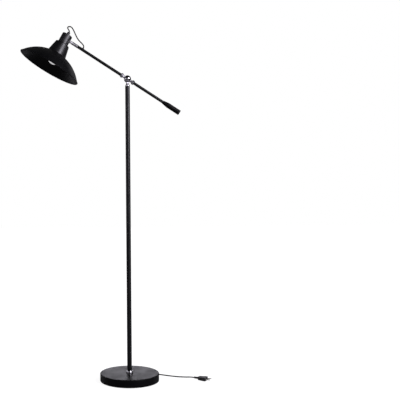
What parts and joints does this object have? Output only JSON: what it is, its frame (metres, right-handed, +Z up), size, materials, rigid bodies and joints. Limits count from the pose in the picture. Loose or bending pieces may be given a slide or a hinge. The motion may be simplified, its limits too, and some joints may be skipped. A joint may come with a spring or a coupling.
{
  "type": "adjustable arm floor lamp",
  "caption": "Floor lamp with a round weighted foot, a slim pole, a counterbalanced arm tilting on a chrome ball knuckle, a domed metal shade, a loop of flex and a mains cord.",
  "frame": {"origin": "on the floor under the pole's axis, at the centre of the round foot", "axes": "+Z up the pole; the arm lies in the XZ plane with the shade towards -X and the counterweight towards +X; -Y faces the camera"},
  "size_m": [0.8012, 0.3549, 1.5138],
  "materials": {
    "black_paint": "satin",
    "black_shade": "satin",
    "chrome": "polished",
    "iron": "matte",
    "steel": "satin",
    "brass": "satin",
    "rubber": "matte",
    "cable": "satin",
    "black_plastic": "satin",
    "washer_plastic": "matte",
    "opal_glass": "satin",
    "holder": "satin",
    "aluminium_cap": "satin"
  },
  "bodies": {
    "stand": {"base_cover": "black_paint", "base_weight": "iron", "bottom_plate": "steel", "plate_screws": "steel", "rubber_feet": "rubber", "base_washer": "steel", "base_nut": "steel", "base_stud": "steel", "foot_collar": "chrome", "cord_gland": "black_plastic", "cord_clamp": "steel", "clamp_screws": "steel", "pole_lower": "black_paint", "pole_middle": "black_paint", "pole_upper": "black_paint", "pole_couplings": "steel", "pole_foot_plug": "steel", "pole_top_bush": "brass", "pole_cable": "cable", "swivel_washer": "washer_plastic", "cord_lead": "cable", "cord_coil": "cable", "cord_tie": "black_plastic", "cord_tail": "cable", "switch_base": "black_plastic", "switch_cover": "black_plastic", "plug_body": "black_plastic", "plug_pins": "brass"},
    "swivel": {"swivel_fork": "chrome", "swivel_retainer": "steel", "pivot_bolt": "chrome", "pivot_nut": "chrome"},
    "arm": {"arm_hub": "chrome", "friction_washers": "washer_plastic", "front_collar": "chrome", "rear_collar": "chrome", "front_arm_tube": "black_paint", "rear_arm_tube": "black_paint", "counterweight": "black_paint", "arm_tip": "chrome", "arm_grommet": "rubber", "arm_cable": "cable", "hinge_screw": "chrome", "hinge_screw_nut": "chrome"},
    "head": {"shade": "black_shade", "socket_cap": "black_paint", "hinge_lug": "chrome", "hinge_lug_nut": "steel", "hinge_washers": "washer_plastic", "holder_body": "holder", "holder_ring": "holder", "holder_shell": "brass", "holder_contact": "brass", "head_nipple": "brass", "head_cable": "cable", "cable_gland": "black_plastic", "bulb_glass": "opal_glass", "bulb_cap": "aluminium_cap", "loop_cable": "cable"},
    "rocker": {"switch_rocker": "black_plastic"}
  },
  "joints": [
    {"name": "arm_swivel", "type": "hinge", "parent": "stand", "child": "swivel", "pos_m": [0, 0, 1.2869], "axis": [0, 0, 1], "range_deg": [-160, 160]},
    {"name": "arm_tilt", "type": "hinge", "parent": "swivel", "child": "arm", "pos_m": [0, 0, 1.2869], "axis": [0, 1, 0], "range_deg": [-78, 12]},
    {"name": "head_tilt", "type": "hinge", "parent": "arm", "child": "head", "pos_m": [-0.2365, 0, 1.44049], "axis": [0, 1, 0], "range_deg": [-40, 75], "deforming": ["loop_cable"]},
    {"name": "switch_press", "type": "hinge", "parent": "stand", "child": "rocker", "pos_m": [0.07489, 0.1563, 0.0121], "axis": [-0.795, -0.6066, 0], "range_deg": [0, 14]}
  ]
}
